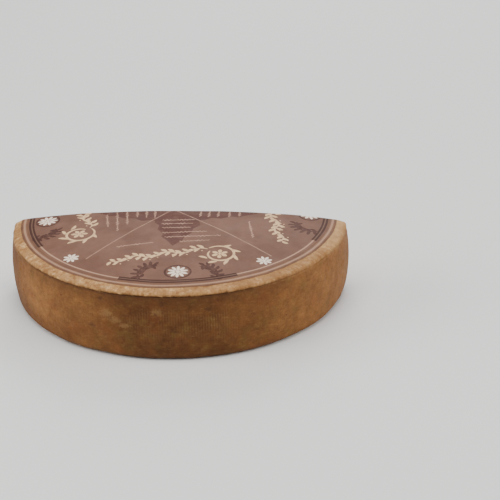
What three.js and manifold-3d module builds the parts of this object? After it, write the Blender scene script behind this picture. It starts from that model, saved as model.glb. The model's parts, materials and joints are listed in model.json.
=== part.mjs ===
// Half of a round mountain cheese, cut straight down through the middle, with the paper
// label that was stuck on its crowned top and cut with it. Millimetres, +Z up.
// The cheese lies on its flat base. The cut face looks along +Y and the round side along -Y.
import * as THREE from 'three';
import { mergeVertices } from 'three/addons/utils/BufferGeometryUtils.js';
import Module from 'manifold-3d';

const wasm = await Module();
wasm.setup();

// The wheel
const WHEEL_RADIUS = 155; // out to the foot of the side wall
const SHOULDER_HEIGHT = 66.5; // base to the outer edge of the top face
const CROWN_RISE = 9.5; // how far the middle of the top stands above that edge
const CROWN_POWER = 2.45; // above 2, the crown is flat in the middle and falls off late
const SIDE_BULGE = 2.2; // how far the side wall swells past its foot
const BASE_ROUND = 8; // radius of the edge that the wheel rests on
const LIP_ROUND = 2.8; // radius of the lip that the press mould's lid leaves at the shoulder
const CREASE_DEPTH = 0.9; // of the groove under that lip
const CREASE_HEIGHT = 1.6;

// The paper label
const LABEL_INSET = 8; // bare rind left outside the label, at the wheel's own outline
const LABEL_SHIFT = [-0.8, 1.8]; // the label was stuck on this far off centre
const LABEL_THICKNESS = 0.3;
const LABEL_CLEARANCE = 0.3; // between the label and the rind under it

// The eyes that the knife opened in the cut face. across is from the wheel's axis (0) to its
// rim (1 or -1), up from the base (0) to the top (1); the other sizes are in millimetres.
const EYES = [
  { across: 0.528, up: 0.66, width: 3.4, height: 3.6, depth: 2 },
  { across: 0.507, up: 0.46, width: 8, height: 11, depth: 5 },
  { across: 0.406, up: 0.29, width: 10.5, height: 14, depth: 6.5 },
  { across: 0.834, up: 0.655, width: 9, height: 10, depth: 5 },
  { across: 0.907, up: 0.7, width: 4, height: 4.2, depth: 2.2 },
  { across: 0.776, up: 0.17, width: 8.6, height: 9.4, depth: 4.5 },
  { across: 0.591, up: 0.11, width: 5.4, height: 5.6, depth: 3 },
  { across: -0.622, up: 0.79, width: 5, height: 5.2, depth: 2.6 },
  { across: -0.47, up: 0.36, width: 8.2, height: 9.4, depth: 4.4 },
  { across: -0.8, up: 0.42, width: 6.4, height: 6.8, depth: 3.4 },
  { across: -0.19, up: 0.22, width: 4.2, height: 4.8, depth: 2.2 },
  { across: 0.09, up: 0.55, width: 3.2, height: 3.4, depth: 1.8 },
];

// How finely the round shapes are faceted
const TURN_STEPS = 120;
const ARC_STEPS = 5;
const WALL_STEPS = 8;
const CROWN_STEPS = 14;
const EYE_STEPS = 16;

const OUTER_RADIUS = WHEEL_RADIUS + SIDE_BULGE;
const CROWN_RADIUS = WHEEL_RADIUS - LIP_ROUND;
const TOP_HEIGHT = SHOULDER_HEIGHT + CROWN_RISE;
const CREASE_TOP = SHOULDER_HEIGHT - LIP_ROUND;
const LABEL_RADIUS = WHEEL_RADIUS - LABEL_INSET;

const RIND = { color: 0x9a6a3e, roughness: 0.75, metalness: 0 };
const PRINTED_PAPER = { color: 0x957870, roughness: 0.6, metalness: 0 };

// Height of the top face at a distance from the axis
const crownHeight = (radius) =>
  SHOULDER_HEIGHT + CROWN_RISE * (1 - (radius / CROWN_RADIUS) ** CROWN_POWER);

// Points on a quarter circle about (x, y), from one angle in degrees to another
function quarterArc(x, y, radius, from, to) {
  return Array.from({ length: ARC_STEPS + 1 }, (_, i) => {
    const angle = THREE.MathUtils.degToRad(from + ((to - from) * i) / ARC_STEPS);
    return new THREE.Vector2(x + radius * Math.cos(angle), y + radius * Math.sin(angle));
  });
}

// The side wall swells between the base edge and the groove
function sideWall(from, to) {
  return Array.from({ length: WALL_STEPS + 1 }, (_, i) => {
    const t = i / WALL_STEPS;
    const swell = SIDE_BULGE * Math.sin(Math.PI * t);
    return new THREE.Vector2(WHEEL_RADIUS + swell, from + (to - from) * t);
  });
}

// The top face from a radius in to the axis, raised by a gap
const crownLine = (radius, raise) =>
  Array.from({ length: CROWN_STEPS + 1 }, (_, i) => {
    const r = radius * Math.sin((Math.PI / 2) * (1 - i / CROWN_STEPS));
    return new THREE.Vector2(r, crownHeight(r) + raise);
  });

// A closed geometry as a manifold solid
function solidOf(geometry) {
  const bare = geometry.clone();
  bare.deleteAttribute('normal');
  bare.deleteAttribute('uv');
  const merged = mergeVertices(bare, 1e-4);
  const corners = merged.index.array;
  const triangles = [];
  for (let i = 0; i < corners.length; i += 3) {
    const [a, b, c] = corners.subarray(i, i + 3);
    if (a !== b && b !== c && c !== a) triangles.push(a, b, c);
  }
  const mesh = new wasm.Mesh({
    numProp: 3,
    vertProperties: new Float32Array(merged.attributes.position.array),
    triVerts: new Uint32Array(triangles),
  });
  return new wasm.Manifold(mesh);
}

// A manifold solid as a flat-shaded geometry
function geometryOf(solid) {
  const { vertProperties, triVerts } = solid.getMesh();
  const geometry = new THREE.BufferGeometry();
  geometry.setAttribute('position', new THREE.BufferAttribute(vertProperties, 3));
  geometry.setIndex(new THREE.BufferAttribute(triVerts, 1));
  geometry.computeVertexNormals();
  return geometry;
}

// An outline turned about the wheel's axis, which stands along Z
function turned(points) {
  return solidOf(new THREE.LatheGeometry(points, TURN_STEPS).rotateX(Math.PI / 2));
}

// All that the knife takes away: the space on the +Y side of the cut
function farSide() {
  const reach = 4 * OUTER_RADIUS;
  return solidOf(new THREE.BoxGeometry(reach, reach, reach).translate(0, reach / 2, 0));
}

function wholeWheel() {
  const outline = [
    new THREE.Vector2(0, 0),
    ...quarterArc(WHEEL_RADIUS - BASE_ROUND, BASE_ROUND, BASE_ROUND, -90, 0),
    ...sideWall(BASE_ROUND, CREASE_TOP - CREASE_HEIGHT).slice(1),
    new THREE.Vector2(WHEEL_RADIUS - CREASE_DEPTH, CREASE_TOP - CREASE_HEIGHT / 2),
    ...quarterArc(CROWN_RADIUS, CREASE_TOP, LIP_ROUND, 0, 90),
    ...crownLine(CROWN_RADIUS, 0).slice(1),
  ];
  return turned(outline);
}

// One eye: an egg-shaped hollow with its widest section in the cut face
function eye({ across, up, width, height, depth }) {
  const hollow = new THREE.SphereGeometry(1, EYE_STEPS, EYE_STEPS / 2)
    .scale(width / 2, depth, height / 2)
    .translate(across * WHEEL_RADIUS, 0, up * TOP_HEIGHT);
  return solidOf(hollow);
}

function halfWheel() {
  const half = wholeWheel().subtract(farSide());
  return EYES.reduce((cheese, place) => cheese.subtract(eye(place)), half);
}

// A sheet that follows the crown, trimmed to a circle and cut with the wheel
function halfLabel() {
  const sheet = turned([
    ...crownLine(CROWN_RADIUS, LABEL_CLEARANCE).reverse(),
    ...crownLine(CROWN_RADIUS, LABEL_CLEARANCE + LABEL_THICKNESS),
  ]);
  const [shiftX, shiftY] = LABEL_SHIFT;
  const trim = new THREE.CylinderGeometry(LABEL_RADIUS, LABEL_RADIUS, TOP_HEIGHT, TURN_STEPS)
    .rotateX(Math.PI / 2)
    .translate(shiftX, shiftY, TOP_HEIGHT);
  return sheet.intersect(solidOf(trim)).subtract(farSide());
}

function piece(name, solid, finish) {
  const mesh = new THREE.Mesh(geometryOf(solid), new THREE.MeshStandardMaterial(finish));
  mesh.name = name;
  return mesh;
}

// The origin is under the middle of the half's box, so the wheel's axis is half a radius back
const cheese = new THREE.Group();
cheese.add(piece('cheese_half_wheel', halfWheel(), RIND));
cheese.add(piece('top_label', halfLabel(), PRINTED_PAPER));
cheese.position.y = OUTER_RADIUS / 2;

export default cheese;
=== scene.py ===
# %% [markdown]
# # Half of a mountain cheese
# The cheese is one grown body: a brown washed rind round a pale paste, crowned on top, swollen
# at the side, rounded at the foot, and cut straight down through the middle. A paper label
# covers nearly the whole top and was cut with it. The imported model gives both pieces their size
# and place. This script models their fine shape and their finish in that same frame.

import json
import math
import random

import bmesh
import bpy
import numpy as np
from mathutils import Matrix, Vector, kdtree, noise

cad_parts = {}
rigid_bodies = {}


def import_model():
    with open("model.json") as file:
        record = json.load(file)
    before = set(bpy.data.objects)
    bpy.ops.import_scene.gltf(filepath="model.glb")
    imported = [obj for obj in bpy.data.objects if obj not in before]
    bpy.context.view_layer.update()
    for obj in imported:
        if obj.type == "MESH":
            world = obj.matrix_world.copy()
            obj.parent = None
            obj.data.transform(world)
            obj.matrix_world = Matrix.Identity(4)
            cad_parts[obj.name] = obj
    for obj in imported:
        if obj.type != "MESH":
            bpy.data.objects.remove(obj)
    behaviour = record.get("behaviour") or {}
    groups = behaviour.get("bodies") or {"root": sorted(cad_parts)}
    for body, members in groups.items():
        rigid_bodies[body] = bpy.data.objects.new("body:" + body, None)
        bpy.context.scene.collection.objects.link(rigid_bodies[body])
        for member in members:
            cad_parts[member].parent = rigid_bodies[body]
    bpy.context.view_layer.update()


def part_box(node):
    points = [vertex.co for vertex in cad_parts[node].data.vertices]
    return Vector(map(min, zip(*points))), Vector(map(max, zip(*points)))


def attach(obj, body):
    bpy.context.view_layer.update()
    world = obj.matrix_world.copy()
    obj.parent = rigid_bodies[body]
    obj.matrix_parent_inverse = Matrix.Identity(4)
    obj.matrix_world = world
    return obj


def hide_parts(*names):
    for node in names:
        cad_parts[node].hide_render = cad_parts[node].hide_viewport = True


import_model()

# %% [markdown]
# ## The camera
# It looks a little down on the round side, from so far away that a long lens fits. Its matrix is
# built as a tripod is set up: turn round the subject, tilt down, then level the camera.

# %% Place the camera
AIM = Vector((0.0698, 0.0086, 0.0691))
VIEW_TURN = math.radians(4.08)
VIEW_LIFT = math.radians(25.07)
VIEW_ROLL = math.radians(-1.58)
VIEW_DISTANCE = 2.073
VIEW_LENS = 165.5


def turned_frame(turn, lift, roll=0.0):
    """The rotation of something that looks at the subject from a bearing and a height."""
    tilt = Matrix.Rotation(math.pi / 2 - lift, 4, "X")
    return Matrix.Rotation(turn, 4, "Z") @ tilt @ Matrix.Rotation(roll, 4, "Z")


def aimed(obj, turn, lift, distance, roll=0.0):
    facing = turned_frame(turn, lift, roll)
    place = AIM + facing.to_3x3() @ Vector((0, 0, distance))
    obj.matrix_world = Matrix.Translation(place) @ facing
    bpy.context.scene.collection.objects.link(obj)
    return obj


camera = bpy.data.objects.new("camera", bpy.data.cameras.new("camera"))
camera.data.lens = VIEW_LENS
aimed(camera, VIEW_TURN, VIEW_LIFT, VIEW_DISTANCE, VIEW_ROLL)
bpy.context.scene.camera = camera
print(f"camera: {VIEW_LENS} mm lens, {VIEW_DISTANCE} m away")

# %% [markdown]
# ## Floor and light
# A plain pale floor, and big soft boxes as in a food studio: one above, and one at each side, so
# that the round side is brighter at its ends than in its middle.

# %% Lay the floor and hang the soft boxes
FLOOR_HALF = 6.0
FLOOR_COLOUR = (0.86, 0.85, 0.83)
FLOOR_ROUGHNESS = 0.9
ROOM_LIGHT = (0.9, 0.92, 0.95, 1)
ROOM_STRENGTH = 0.3
# Bearing and height in degrees, size in metres, power in watts
SOFT_BOXES = {
    "overhead_box": {"turn": -10, "lift": 72, "size": 1.3, "power": 20},
    "left_box": {"turn": -76, "lift": 24, "size": 1.0, "power": 15},
    "right_box": {"turn": 80, "lift": 24, "size": 1.0, "power": 15},
    "back_box": {"turn": 178, "lift": 32, "size": 1.0, "power": 13},
}
BOX_DISTANCE = 1.6


def plain_material(name, colour, roughness):
    material = bpy.data.materials.new(name)
    material.use_nodes = True
    shader = material.node_tree.nodes["Principled BSDF"]
    shader.inputs["Base Color"].default_value = (*colour, 1)
    shader.inputs["Roughness"].default_value = roughness
    return material


def lay_floor():
    bm = bmesh.new()
    bmesh.ops.create_grid(bm, x_segments=1, y_segments=1, size=FLOOR_HALF)
    mesh = bpy.data.meshes.new("floor")
    bm.to_mesh(mesh)
    bm.free()
    floor = bpy.data.objects.new("floor", mesh)
    floor.data.materials.append(plain_material("pale_floor", FLOOR_COLOUR, FLOOR_ROUGHNESS))
    bpy.context.scene.collection.objects.link(floor)


def hang_box(name, turn, lift, size, power):
    lamp = bpy.data.lights.new(name, "AREA")
    lamp.shape = "SQUARE"
    lamp.size = size
    lamp.energy = power
    aimed(bpy.data.objects.new(name, lamp), math.radians(turn), math.radians(lift), BOX_DISTANCE)


lay_floor()
for box_name, box in SOFT_BOXES.items():
    hang_box(box_name, **box)

world = bpy.data.worlds.new("studio")
world.use_nodes = True
room = world.node_tree.nodes["Background"].inputs
room["Color"].default_value = ROOM_LIGHT
room["Strength"].default_value = ROOM_STRENGTH
bpy.context.scene.world = world
print("floor laid,", len(SOFT_BOXES), "soft boxes hung")

# %% [markdown]
# ## Working in millimetres about the wheel's axis
# Cheese makers think of a wheel: radius, height, crown. So each piece is built in millimetres
# with the wheel's axis at zero and the cut in the plane y = 0, and one last step scales it to
# metres and moves it to where the frame holds the half.

# %% Sizes of the wheel, in millimetres
MM = 0.001
cheese_low, cheese_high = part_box("cheese_half_wheel")
label_low, label_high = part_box("top_label")

SIDE_BULGE = 2.2
BASE_ROUND = 8.0
LIP_ROUND = 2.8
CREASE_DEPTH = 0.7
CREASE_HEIGHT = 1.6
CROWN_RISE = 9.5
CROWN_POWER = 2.45
LABEL_INSET = 8.0
LABEL_SHIFT = Vector((-0.8, 1.8, 0))
FOOT_RADIUS = (cheese_high.x - cheese_low.x) / 2 / MM - SIDE_BULGE
CROWN_RADIUS = FOOT_RADIUS - LIP_ROUND
TOP_HEIGHT = cheese_high.z / MM
SHOULDER_HEIGHT = TOP_HEIGHT - CROWN_RISE
CREASE_TOP = SHOULDER_HEIGHT - LIP_ROUND
LABEL_RADIUS = FOOT_RADIUS - LABEL_INSET
CUT_PLACE = Vector(((cheese_low.x + cheese_high.x) / 2, cheese_high.y, 0))

print(f"wheel: foot radius {FOOT_RADIUS:.1f} mm, height {TOP_HEIGHT:.1f} mm over the crown")
print(f"label: {(label_high.x - label_low.x) / MM:.1f} mm across the cut")


def crown_height(radius):
    """Height of the top face at a distance from the axis."""
    return SHOULDER_HEIGHT + CROWN_RISE * (1 - min(radius / CROWN_RADIUS, 1) ** CROWN_POWER)


def to_frame(bm):
    """From millimetres about the axis to metres in the frame."""
    bmesh.ops.scale(bm, vec=(MM, MM, MM), verts=bm.verts)
    bmesh.ops.translate(bm, vec=CUT_PLACE, verts=bm.verts)


def as_object(bm, name, materials):
    to_frame(bm)
    mesh = bpy.data.meshes.new(name)
    bm.to_mesh(mesh)
    bm.free()
    for material in materials:
        mesh.materials.append(material)
    obj = bpy.data.objects.new(name, mesh)
    bpy.context.scene.collection.objects.link(obj)
    print(name, "made, with", [material.name for material in materials])
    return obj


# %% [markdown]
# ## Wiring materials
# Every finish here is a small network of nodes. Writing each node out takes four lines, so these
# helpers place a node, fill its sockets with numbers or with other sockets, and return it.

# %% Helpers for node networks
def place_node(tree, kind, inputs=None, **settings):
    """A node with its settings and its sockets filled, by number or name."""
    made = tree.nodes.new(kind)
    for name, value in settings.items():
        setattr(made, name, value)
    for key, value in (inputs or {}).items():
        if isinstance(value, bpy.types.NodeSocket):
            tree.links.new(value, made.inputs[key])
        else:
            made.inputs[key].default_value = value
    return made


def calc(tree, operation, first, second=0.0, third=0.0):
    inputs = {0: first, 1: second, 2: third}
    return place_node(tree, "ShaderNodeMath", inputs, operation=operation).outputs[0]


def times(tree, first, second):
    """A mask or a value multiplied by another."""
    return calc(tree, "MULTIPLY", first, second)


def vector_calc(tree, operation, first, second=(0, 0, 0)):
    made = place_node(tree, "ShaderNodeVectorMath", {0: first, 1: second}, operation=operation)
    return made.outputs["Value" if operation == "LENGTH" else "Vector"]


def joined(tree, x, y=0.0, z=0.0):
    return place_node(tree, "ShaderNodeCombineXYZ", {0: x, 1: y, 2: z}).outputs[0]


def ramp_up(tree, value, low, high):
    """0 below low, 1 above high, smooth between. With high under low it falls instead."""
    inputs = {"Value": value, "From Min": low, "From Max": high}
    made = place_node(tree, "ShaderNodeMapRange", inputs, interpolation_type="SMOOTHSTEP")
    return made.outputs["Result"]


def between(tree, value, rise, fall):
    """1 between two borders. Each border is where it starts and where it is done."""
    return times(tree, ramp_up(tree, value, *rise), ramp_up(tree, value, *fall))


print("helpers for numbers and places are ready")

# %% [markdown]
# The next helpers work on colours. A mask from 0 to 1 says where the second colour shows, and
# noise is what makes most of the masks here. Colours are written as on a paint chart.

# %% Helpers for colours and noise
def mixed(tree, factor, first, second, blend="MIX"):
    """Two colours mixed by a mask."""
    made = place_node(tree, "ShaderNodeMix", {0: factor}, data_type="RGBA", blend_type=blend)
    for key, value in ((6, first), (7, second)):
        if isinstance(value, bpy.types.NodeSocket):
            tree.links.new(value, made.inputs[key])
        else:
            made.inputs[key].default_value = (*value, 1)
    return made.outputs[2]


def tinted(tree, colour, mask, strength, other):
    """The colour drawn towards another one where the mask lies."""
    return mixed(tree, times(tree, mask, strength), colour, other)


def speckle(tree, vector, size, detail=2.0, roughness=0.5):
    """Noise from 0 to 1 whose patches are about size across, in the vector's own unit."""
    inputs = {"Vector": vector, "Scale": 1 / size, "Detail": detail, "Roughness": roughness}
    return place_node(tree, "ShaderNodeTexNoise", inputs).outputs["Fac"]


def shifted(tree, vector, amount):
    """The same coordinates, moved so that a second noise falls elsewhere."""
    return vector_calc(tree, "ADD", vector, (amount, amount * 0.7, amount * 0.4))


def srgb(red, green, blue):
    """A colour as paint charts give it, 0 to 255, as the linear colour that nodes use."""
    def linear(value):
        value /= 255
        return value / 12.92 if value <= 0.04045 else ((value + 0.055) / 1.055) ** 2.4

    return (linear(red), linear(green), linear(blue))


print("mid grey as nodes see it:", round(srgb(128, 128, 128)[0], 3))

# %% [markdown]
# The rind, the paste and the label all need their points in millimetres about the axis, so that
# is the first shader group. The second one is mottling: two sizes of noise that pull a colour
# lighter and darker, which all natural and printed surfaces here have in some amount.

# %% Shared shader groups
def new_group(name, ins, outs):
    group = bpy.data.node_groups.new(name, "ShaderNodeTree")
    for socket_name, kind in ins.items():
        group.interface.new_socket(socket_name, in_out="INPUT", socket_type="NodeSocket" + kind)
    for socket_name, kind in outs.items():
        group.interface.new_socket(socket_name, in_out="OUTPUT", socket_type="NodeSocket" + kind)
    return group, group.nodes.new("NodeGroupInput"), group.nodes.new("NodeGroupOutput")


def wheel_space_group():
    """Object coordinates as millimetres about the axis, with the radius and the height."""
    outs = {"Place": "Vector", "Radius": "Float", "Height": "Float"}
    group, _, exit_node = new_group("wheel_space", {}, outs)
    coords = place_node(group, "ShaderNodeTexCoord").outputs["Object"]
    inputs = {"Vector": coords, "Location": tuple(-CUT_PLACE / MM), "Scale": (1 / MM,) * 3}
    moved = place_node(group, "ShaderNodeMapping", inputs).outputs["Vector"]
    parts = place_node(group, "ShaderNodeSeparateXYZ", {0: moved}).outputs
    radius = vector_calc(group, "LENGTH", joined(group, parts["X"], parts["Y"]))
    group.links.new(moved, exit_node.inputs["Place"])
    group.links.new(radius, exit_node.inputs["Radius"])
    group.links.new(parts["Z"], exit_node.inputs["Height"])
    return group


def mottle_group():
    """Darkens and lightens a colour in coarse and fine patches."""
    ins = {"Color": "Color", "Place": "Vector"}
    ins.update(dict.fromkeys(("Coarse", "Fine", "Amount"), "Float"))
    group, entry, exit_node = new_group("mottle", ins, {"Color": "Color"})
    total = None
    for size_name, seed in (("Coarse", 3.1), ("Fine", 7.7)):
        scale = calc(group, "DIVIDE", 1.0, entry.outputs[size_name])
        offset = vector_calc(group, "ADD", entry.outputs["Place"], (seed * 31, seed * 17, seed))
        inputs = {"Vector": offset, "Scale": scale, "Detail": 3.0, "Roughness": 0.6}
        patches = place_node(group, "ShaderNodeTexNoise", inputs).outputs["Fac"]
        swing = calc(group, "SUBTRACT", patches, 0.5)
        total = swing if total is None else calc(group, "ADD", total, swing)
    gain = calc(group, "MULTIPLY_ADD", total, entry.outputs["Amount"], 1.0)
    grey = place_node(group, "ShaderNodeCombineColor", {0: gain, 1: gain, 2: gain}).outputs[0]
    result = mixed(group, 1.0, entry.outputs["Color"], grey, "MULTIPLY")
    group.links.new(result, exit_node.inputs["Color"])
    return group


WHEEL_SPACE = wheel_space_group()
MOTTLE = mottle_group()
print("shader groups:", WHEEL_SPACE.name, "and", MOTTLE.name)


# %% [markdown]
# Each finish starts with the wheel's own coordinates and ends with a bump for its finest relief.

# %% Helpers that use the groups
def start_material(name):
    """An empty finish with the wheel's own coordinates ready."""
    material = bpy.data.materials.new(name)
    material.use_nodes = True
    tree = material.node_tree
    space = place_node(tree, "ShaderNodeGroup", node_tree=WHEEL_SPACE).outputs
    return material, tree, tree.nodes["Principled BSDF"], space


def mottled(tree, colour, place, coarse, fine, amount):
    inputs = {"Color": colour, "Place": place, "Coarse": coarse, "Fine": fine, "Amount": amount}
    if not isinstance(colour, bpy.types.NodeSocket):
        inputs["Color"] = (*colour, 1)
    return place_node(tree, "ShaderNodeGroup", inputs, node_tree=MOTTLE).outputs["Color"]


def bumped(tree, shader, height, depth):
    """Fine relief: height from 0 to 1 stands for depth millimetres."""
    inputs = {"Height": height, "Distance": depth * MM, "Strength": 1.0}
    made = place_node(tree, "ShaderNodeBump", inputs)
    tree.links.new(made.outputs["Normal"], shader.inputs["Normal"])


# %% [markdown]
# ## The rind
# The rind of such a cheese is washed with brine for months. It dries to browns that wander from
# ochre to olive and red brown, with darker spots, and fine upright ribs where the cloth and the
# hoop pressed into it. Colours change with the bearing round the wheel, which a vertex attribute
# called girth holds, in millimetres along the side from the left end of the cut. Each brown is
# laid over the last one through its own mask, so the tables read like a painter's recipe.

# %% The browns of the wall
RIND_DARK = srgb(84, 49, 19)
RIND_BROWN = srgb(112, 71, 34)
RIND_OCHRE = srgb(150, 101, 53)
RIND_OLIVE = srgb(106, 80, 36)
RIND_RED = srgb(118, 62, 30)
RIND_AMBER = srgb(84, 44, 4)
RIND_PALE = srgb(160, 124, 80)
HALF_GIRTH = math.pi * FOOT_RADIUS

# Over ochre: where along the half round, from 0 to 1, each brown begins and is full
# The dark brown towards the front is partly the rind's own tone and partly painted shade.
FRONT_BROWNS_AND_SHADE = ((RIND_DARK, 0.17, 0.48), (RIND_OCHRE, 0.52, 0.94))
FRONT_WANDER = 130.0
# Beside the cut: where along the girth each begins and is full, and how strong it is
END_BROWNS = ((RIND_BROWN, 98, 40, 0.9), (RIND_AMBER, 112, 48, 0.45), (RIND_BROWN, 388, 430, 0.45))
# Patches: shift, size, detail and roughness of the noise, its value where the patch begins and
# is full, and how strong it is
PATCHES = (
    (RIND_BROWN, 0, 16, 4.0, 0.6, 0.4, 0.62, 0.4),
    (RIND_OLIVE, 41, 13, 3.0, 0.55, 0.52, 0.7, 0.42),
    (RIND_RED, 97, 19, 3.0, 0.55, 0.5, 0.72, 0.32),
)
# Streaks that lie and lean a little, as the washing brush leaves them
STREAK_LEAN = math.radians(-24)
STREAK_STRETCH = (0.3, 1, 0.75)
STREAKS = ((RIND_PALE, 0.5, 0.75, 0.16), (RIND_DARK, 0.5, 0.3, 0.22))


def wall_colour(tree, place, girth, wrap):
    """Ochre towards both ends, darkest where the side faces front (partly painted shade), browner
    beside the cut.
    """
    wander = calc(tree, "MULTIPLY_ADD", speckle(tree, place, 38), FRONT_WANDER, -FRONT_WANDER / 2)
    bearing = calc(tree, "DIVIDE", calc(tree, "ADD", girth, wander), HALF_GIRTH)
    colour = RIND_OCHRE
    for brown, begins, full in FRONT_BROWNS_AND_SHADE:
        colour = mixed(tree, ramp_up(tree, bearing, begins, full), colour, brown)
    for brown, begins, full, strength in END_BROWNS:
        colour = tinted(tree, colour, ramp_up(tree, girth, begins, full), strength, brown)
    for brown, shift, size, detail, roughness, begins, full, strength in PATCHES:
        patch = speckle(tree, shifted(tree, place, shift), size, detail, roughness)
        colour = tinted(tree, colour, ramp_up(tree, patch, begins, full), strength, brown)
    leaning = {"Vector": wrap, "Rotation": (0, STREAK_LEAN, 0), "Scale": STREAK_STRETCH}
    lying = place_node(tree, "ShaderNodeMapping", leaning).outputs["Vector"]
    streak = speckle(tree, lying, 1.7, 3.0, 0.6)
    for brown, begins, full, strength in STREAKS:
        colour = tinted(tree, colour, ramp_up(tree, streak, begins, full), strength, brown)
    return mottled(tree, colour, place, 7.0, 1.5, 0.8)


print(f"the side is {HALF_GIRTH:.0f} mm round, in", len(PATCHES), "kinds of patches")

# %% [markdown]
# Two things lie on the browns: fine upright ribs, clearest in the middle of the wall, and dark
# and pale marks from the shelf. A mark is an ellipse on the unrolled wall, and noise added to the
# distance from its middle makes its border ragged.

# %% Ribs and marks
RIND_SPOT = srgb(66, 34, 16)
# The ribs' spacing, and where they fade in and out by height and along the girth
RIB_SPACING = 2.3
RIB_HEIGHTS = ((14, 28), (56, 43))
RIB_GIRTH = ((205, 235), (315, 285))

# Place along the girth and above the base, then the mark's own width and height
DARK_MARKS = (
    (176, 30, 4.5, 3.5),
    (184, 56, 3.5, 3.0),
    (241, 57, 4.0, 4.5),
    (281, 50, 4.0, 3.0),
    (252, 30, 5.0, 3.0),
)
PALE_MARKS = (
    (190, 44, 10.0, 6.0),
    (198, 39, 10.0, 5.0),
    (207, 34, 8.0, 4.5),
    (236, 49, 8.0, 6.0),
)
PIT_MARK = (235, 46.5, 2.2, 2.4)


def blotches(tree, wrap, ragged, marks):
    """1 in the middle of each mark, fading out at its ragged border."""
    total = None
    for along, up, width, height in marks:
        offset = vector_calc(tree, "SUBTRACT", wrap, (along, 0, up))
        unit = vector_calc(tree, "MULTIPLY", offset, (1 / width, 1, 1 / height))
        away = vector_calc(tree, "LENGTH", unit)
        hit = ramp_up(tree, calc(tree, "ADD", away, ragged), 1.0, 0.2)
        total = hit if total is None else calc(tree, "MAXIMUM", total, hit)
    return total


def rib_pattern(tree, girth, height, place):
    """Fine upright ribs in the middle of the wall, clearest at the front and broken elsewhere."""
    wave = calc(tree, "SINE", times(tree, girth, 2 * math.pi / RIB_SPACING))
    tall = between(tree, height, *RIB_HEIGHTS)
    front = between(tree, girth, *RIB_GIRTH)
    weak = ramp_up(tree, speckle(tree, place, 15, 3.0), 0.46, 0.62)
    there = calc(tree, "MULTIPLY_ADD", front, 0.6, times(tree, weak, 0.4))
    broken = ramp_up(tree, speckle(tree, shifted(tree, place, 23), 6.0, 2.0), 0.3, 0.62)
    strength = times(tree, times(tree, there, broken), tall)
    return times(tree, calc(tree, "MULTIPLY_ADD", wave, 0.5, 0.5), strength)


def marked(tree, colour, place, wrap, rib):
    """The wall with its ribs and marks, and a mask of the dark hollows."""
    ragged = calc(tree, "MULTIPLY_ADD", speckle(tree, place, 2.4, 5.0, 0.75), 2.2, -1.0)
    dark = blotches(tree, wrap, ragged, [*DARK_MARKS, PIT_MARK])
    pale = blotches(tree, wrap, ragged, PALE_MARKS)
    spots = ramp_up(tree, speckle(tree, place, 4.2, 1.5), 0.7, 0.78)
    colour = tinted(tree, colour, rib, 0.17, RIND_PALE)
    colour = tinted(tree, colour, pale, 0.3, RIND_PALE)
    colour = tinted(tree, colour, dark, 0.5, RIND_SPOT)
    colour = tinted(tree, colour, spots, 0.35, RIND_SPOT)
    return colour, calc(tree, "MAXIMUM", spots, dark)


print(len(DARK_MARKS) + 1, "dark marks and", len(PALE_MARKS), "pale ones")

# %% [markdown]
# The shoulder is rubbed pale, because hands and shelves touch it there, and its paleness is partly
# a painted highlight where the lip catches the light. Painted shade darkens the crease below it and
# the wall just under the lip. At the front its border is sharp, and towards both ends it fades into
# the wall.
# Towards the right end the border also climbs onto the lip, so the height is read lower there.

# %% The rubbed shoulder and the whole rind
SHOULDER_TAN = srgb(176, 130, 80)
SHOULDER_PALE_AND_HIGHLIGHT = srgb(210, 169, 116)
SHOULDER_SCUFF = srgb(140, 94, 52)
CREASE_PAINTED_SHADE = srgb(76, 46, 22)
# Along the girth: where the border is sharp, where the tans are browner or paler, where the
# border climbs and by how much, and where the foot of the wall is darker
PARTED_GIRTH = ((20, 130), (410, 285))
BROWNER_GIRTH = ((255, 330), (430, 390))
PALER_GIRTH = (400, 460)
CLIMB_GIRTH = (310, 400)
CLIMB = -2.2
LOW_LEFT = {"height": (30, 8), "girth": (200, 110)}


def rubbed_and_highlit_colour(tree, space, girth, grain):
    """Tans in grains, partly a painted highlight on the lip, with scratches that run over the lip.
    """
    place = space["Place"]
    scratches = speckle(tree, joined(tree, girth, z=times(tree, space["Radius"], 0.3)), 2.1, 2.0)
    ochre = speckle(tree, shifted(tree, place, 61), 12.0, 3.0, 0.6)
    tints = (
        (ramp_up(tree, grain, 0.48, 0.3), 1.0, SHOULDER_SCUFF),
        (ramp_up(tree, scratches, 0.5, 0.7), 0.3, SHOULDER_PALE_AND_HIGHLIGHT),
        (ramp_up(tree, scratches, 0.46, 0.3), 0.5, SHOULDER_SCUFF),
        (ramp_up(tree, ochre, 0.44, 0.62), 0.55, SHOULDER_SCUFF),
        (between(tree, girth, *BROWNER_GIRTH), 0.3, SHOULDER_SCUFF),
        (ramp_up(tree, girth, *PALER_GIRTH), 0.4, SHOULDER_PALE_AND_HIGHLIGHT),
    )
    colour = mixed(tree, ramp_up(tree, grain, 0.5, 0.68), SHOULDER_TAN, SHOULDER_PALE_AND_HIGHLIGHT)
    for mask, strength, tan in tints:
        colour = tinted(tree, colour, mask, strength, tan)
    return mottled(tree, colour, place, 9.0, 1.6, 0.32)


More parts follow.
